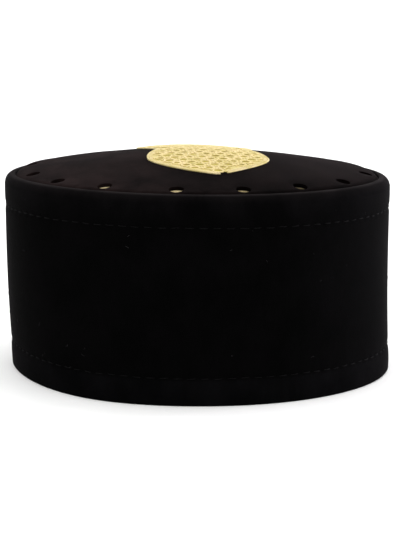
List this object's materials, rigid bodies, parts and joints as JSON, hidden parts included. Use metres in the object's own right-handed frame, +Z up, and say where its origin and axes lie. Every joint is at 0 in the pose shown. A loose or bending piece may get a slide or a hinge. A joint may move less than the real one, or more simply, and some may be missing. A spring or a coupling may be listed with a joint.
{
  "type": "velvet sufi cap",
  "caption": "Round black velvet cap with a stiff stitched drum band, a shallow domed crown with a ring of vent holes, and a raised gold lace motif on top.",
  "frame": {"origin": "middle of the foot edge, on the surface that the cap rests on", "axes": "+Z up through the crown's peak, -Y towards the front, which the picture shows"},
  "size_m": [0.186, 0.186, 0.1064],
  "materials": {
    "band_velvet": "deep black short-pile velvet with a faint sheen at grazing angles",
    "crown_velvet": "black short-pile velvet, brushed, a little browner where light falls on it",
    "lining_gold": "plain woven gold cloth",
    "patch_gold": "pale gold metallic lace with a corded edge"
  },
  "bodies": {
    "root": {"side_band": "band_velvet", "crown_top": "crown_velvet", "crown_lining": "lining_gold", "gold_patch": "patch_gold"}
  },
  "joints": []
}
